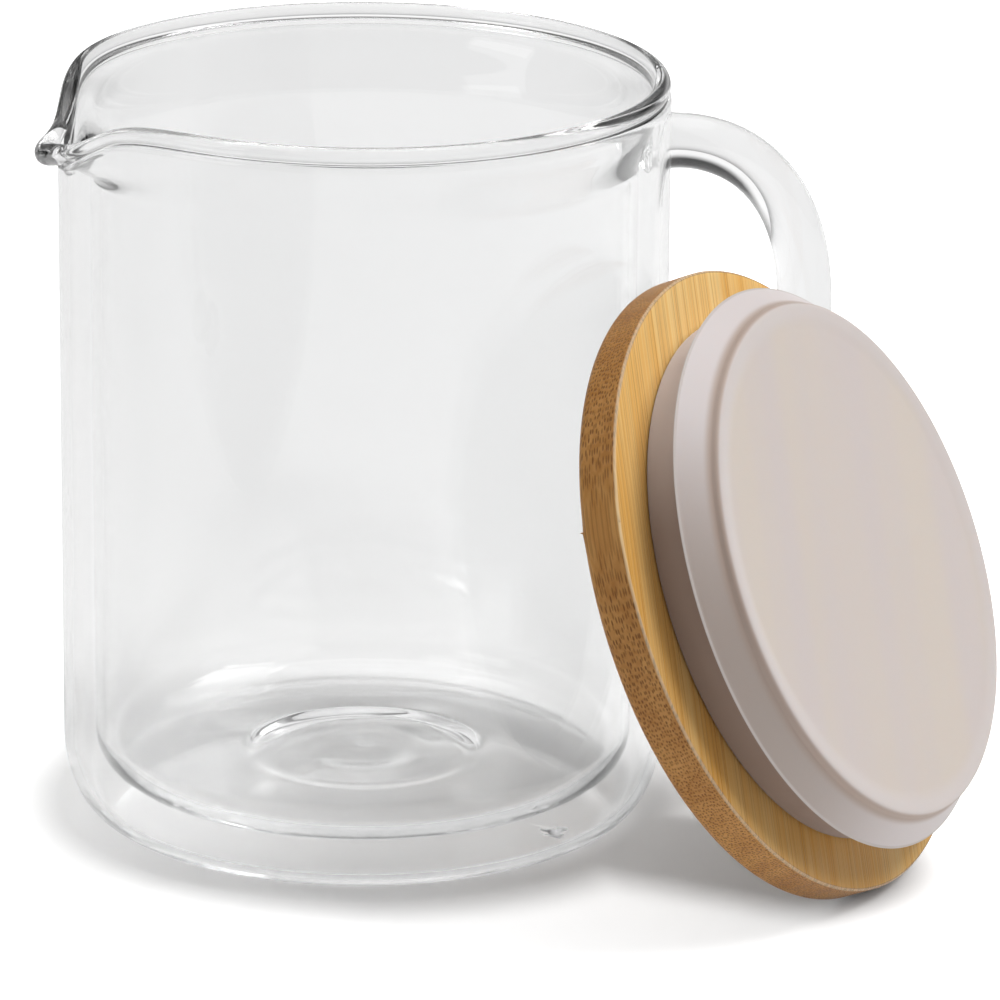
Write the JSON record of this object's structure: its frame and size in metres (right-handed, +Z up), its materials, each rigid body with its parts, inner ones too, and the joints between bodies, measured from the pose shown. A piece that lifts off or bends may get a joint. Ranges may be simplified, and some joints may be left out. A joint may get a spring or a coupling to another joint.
{
  "type": "glass coffee pot",
  "caption": "Double-walled clear glass coffee pot with a drawn spout and a glass loop handle; its bamboo lid with a silicone seal is taken off and leans against the wall.",
  "frame": {"origin": "centre of the flat underside of the pot's base, on the table", "axes": "+Z up; the spout points along -X and the handle along +X; the lid leans on the wall 41 degrees clockwise of +X, seen from above"},
  "size_m": [0.1827, 0.171, 0.1495],
  "materials": {
    "glass": "clear blown borosilicate glass, polished",
    "bamboo": "sanded and oiled bamboo, satin",
    "silicone": "translucent off-white silicone, matt"
  },
  "bodies": {
    "pot": {"outer_wall": "glass", "inner_vessel": "glass", "handle": "glass", "vent_bead": "glass"},
    "lid": {"bamboo_strip_1": "bamboo", "bamboo_strip_2": "bamboo", "bamboo_strip_3": "bamboo", "bamboo_strip_4": "bamboo", "bamboo_strip_5": "bamboo"},
    "seal": {"lid_seal": "silicone"}
  },
  "joints": [
    {"name": "lid_lift", "type": "slide", "parent": "pot", "child": "lid", "axis": [0.69, -0.5998, 0.4051], "range_m": [0, 0.15]},
    {"name": "seal_pull", "type": "slide", "parent": "lid", "child": "seal", "axis": [0.69, -0.5998, 0.4051], "range_m": [0, 0.03]}
  ]
}
